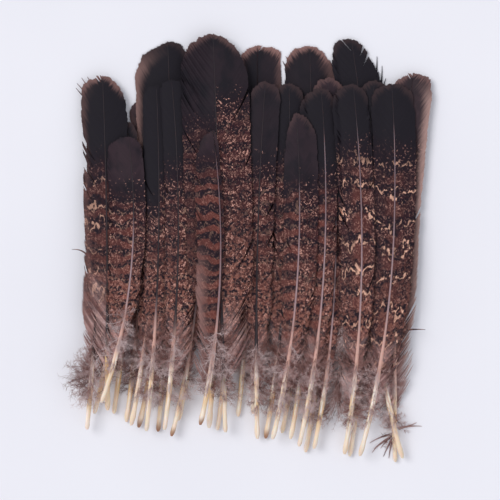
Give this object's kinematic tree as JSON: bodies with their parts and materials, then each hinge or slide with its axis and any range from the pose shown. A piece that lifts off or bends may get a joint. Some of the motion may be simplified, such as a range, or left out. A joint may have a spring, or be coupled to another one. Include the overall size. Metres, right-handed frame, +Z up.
{
  "type": "bunch of feather quills",
  "caption": "Loose bunch of natural barred flight feathers with bare barrels, laid side by side and over each other, raw stock for quill pens.",
  "frame": {"origin": "middle of the bunch, on the surface that it lies on", "axes": "+Z up off the surface, +Y along the feathers towards their tips, +X to the right seen from above with the tips away"},
  "size_m": [0.2547, 0.31, 0.0264],
  "materials": {
    "vane": "matte",
    "quill": "satin",
    "down": "matte"
  },
  "bodies": {
    "bunch": {"back_feather_1": "vane", "back_feather_2": "vane", "back_feather_3": "vane", "back_feather_4": "vane", "back_feather_5": "vane", "back_feather_6": "vane", "back_feather_7": "vane", "inner_feather_1": "vane", "inner_feather_2": "vane", "inner_feather_3": "vane", "inner_feather_4": "vane", "inner_feather_5": "vane", "inner_feather_6": "vane", "inner_feather_7": "vane", "inner_feather_8": "vane", "inner_feather_9": "vane", "inner_feather_10": "vane", "inner_feather_11": "vane", "inner_feather_12": "vane", "middle_feather_1": "vane", "middle_feather_2": "vane", "middle_feather_3": "vane", "middle_feather_4": "vane", "middle_feather_5": "vane", "middle_feather_6": "vane", "middle_feather_7": "vane"},
    "front_feather_1_body": {"front_feather_1": "vane"},
    "front_feather_2_body": {"front_feather_2": "vane"},
    "front_feather_3_body": {"front_feather_3": "vane"},
    "front_feather_4_body": {"front_feather_4": "vane"},
    "front_feather_5_body": {"front_feather_5": "vane"},
    "front_feather_6_body": {"front_feather_6": "vane"},
    "front_feather_7_body": {"front_feather_7": "vane"}
  },
  "joints": [
    {"name": "front_feather_1_lift", "type": "slide", "parent": "bunch", "child": "front_feather_1_body", "axis": [0, 0, 1], "range_m": [0, 0.06]},
    {"name": "front_feather_2_lift", "type": "slide", "parent": "front_feather_1_body", "child": "front_feather_2_body", "axis": [0, 0, 1], "range_m": [0, 0.06]},
    {"name": "front_feather_3_lift", "type": "slide", "parent": "bunch", "child": "front_feather_3_body", "axis": [0, 0, 1], "range_m": [0, 0.06]},
    {"name": "front_feather_4_lift", "type": "slide", "parent": "front_feather_3_body", "child": "front_feather_4_body", "axis": [0, 0, 1], "range_m": [0, 0.06]},
    {"name": "front_feather_5_lift", "type": "slide", "parent": "bunch", "child": "front_feather_5_body", "axis": [0, 0, 1], "range_m": [0, 0.06]},
    {"name": "front_feather_6_lift", "type": "slide", "parent": "front_feather_5_body", "child": "front_feather_6_body", "axis": [0, 0, 1], "range_m": [0, 0.06]},
    {"name": "front_feather_7_lift", "type": "slide", "parent": "front_feather_5_body", "child": "front_feather_7_body", "axis": [0, 0, 1], "range_m": [0, 0.06]}
  ]
}
